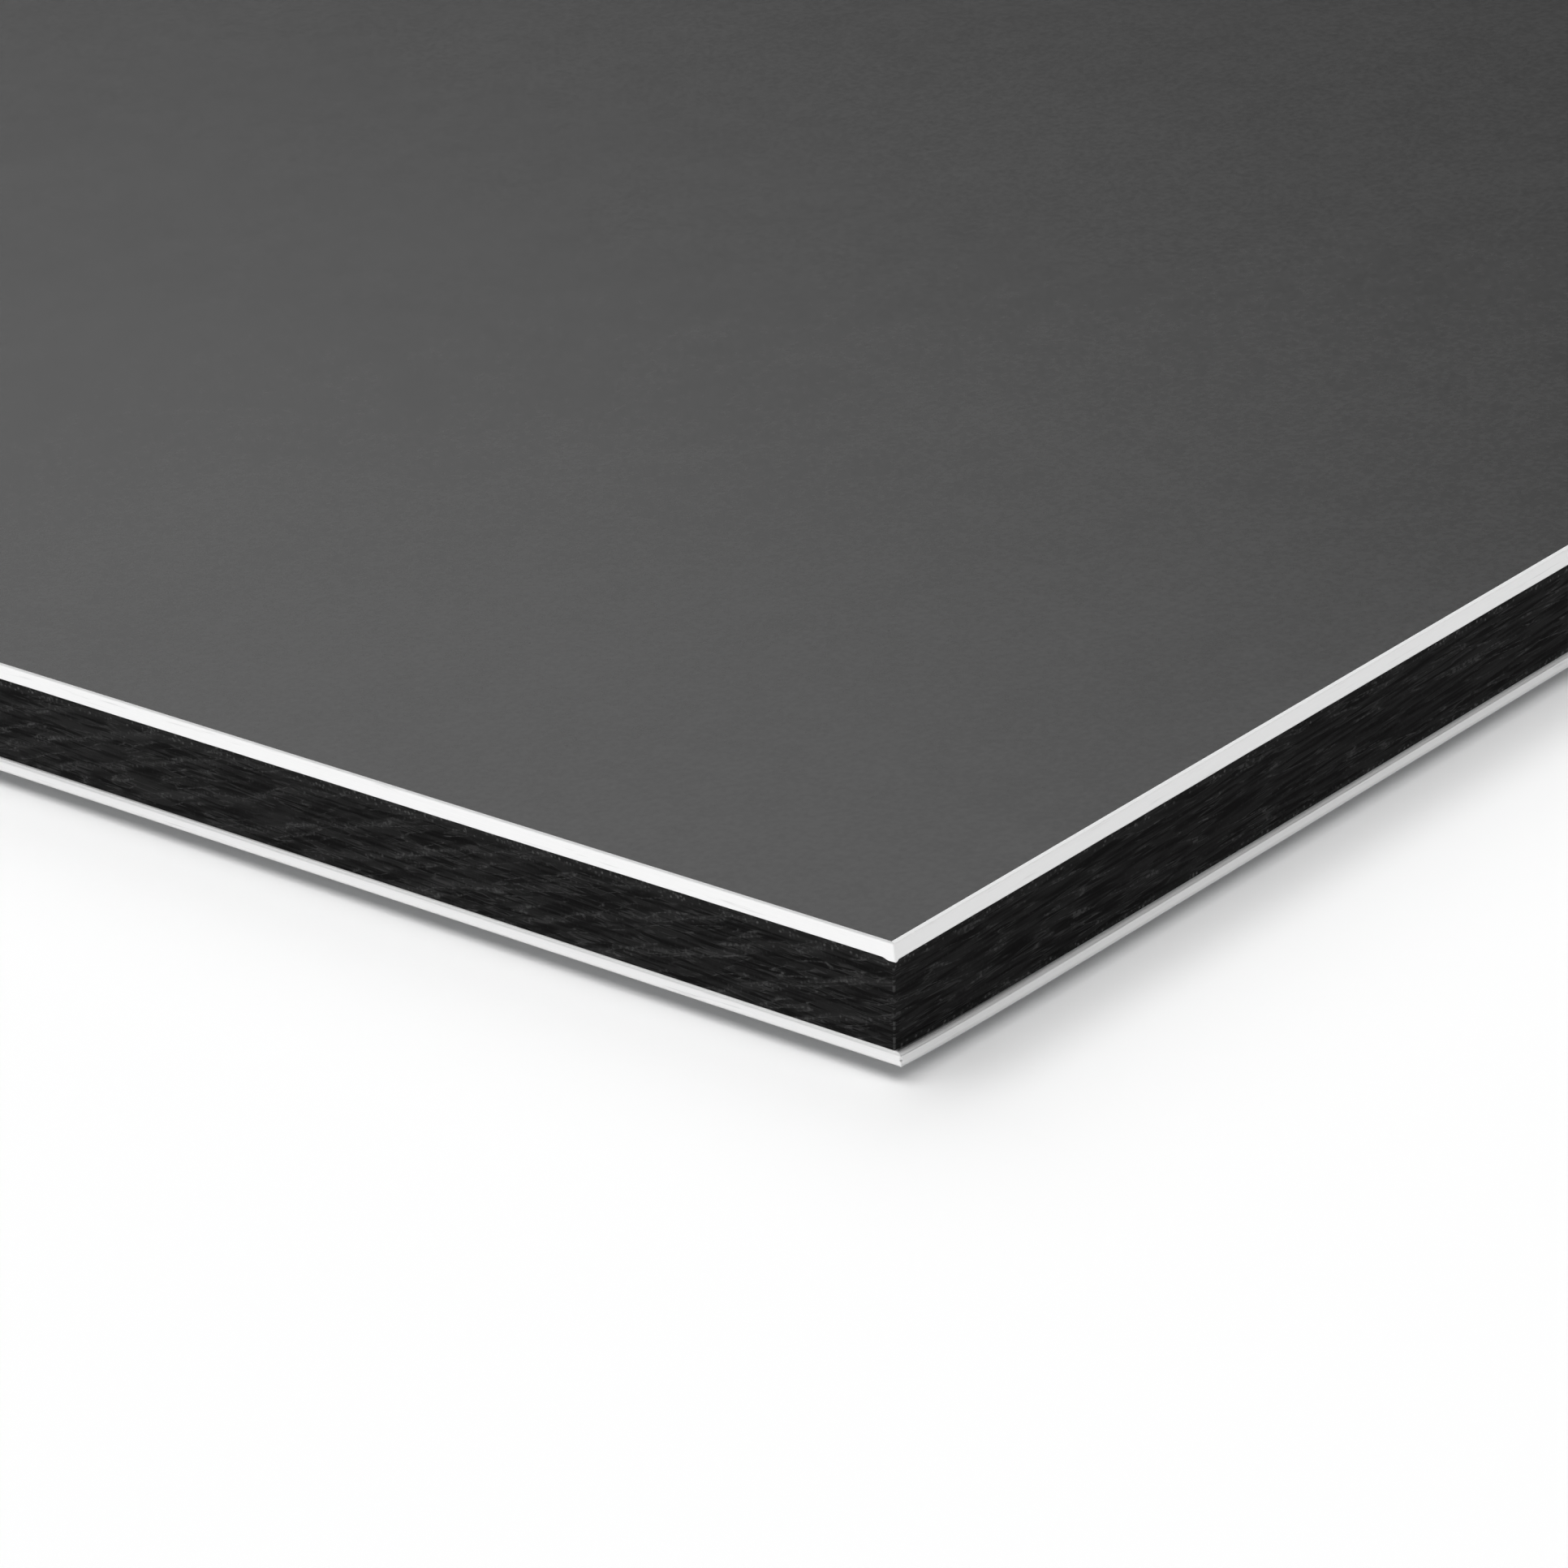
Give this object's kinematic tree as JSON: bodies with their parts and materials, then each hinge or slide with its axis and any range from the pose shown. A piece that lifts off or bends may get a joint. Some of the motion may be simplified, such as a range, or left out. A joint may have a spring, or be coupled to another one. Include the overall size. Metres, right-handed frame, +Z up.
{
  "type": "aluminium composite panel",
  "caption": "Flat rectangular blank of aluminium composite sheet: lacquered aluminium face, black plastic core and plain aluminium back, bonded.",
  "frame": {"origin": "centre of the underside, on the plane that the panel lies on", "axes": "+X along the length, +Y across the width, +Z up through the thickness, out of the lacquered face"},
  "size_m": [0.3, 0.2, 0.004],
  "materials": {
    "lacquered_face": "aluminium sheet with dark grey satin lacquer on its upper face and bright bare cut edges",
    "core_plastic": "black polyethylene, sawn, with fine drawn fibres along the cut",
    "mill_back": "plain mill finish with bright bare cut edges"
  },
  "bodies": {
    "root": {"face_sheet": "lacquered_face", "core": "core_plastic", "back_sheet": "mill_back"}
  },
  "joints": []
}
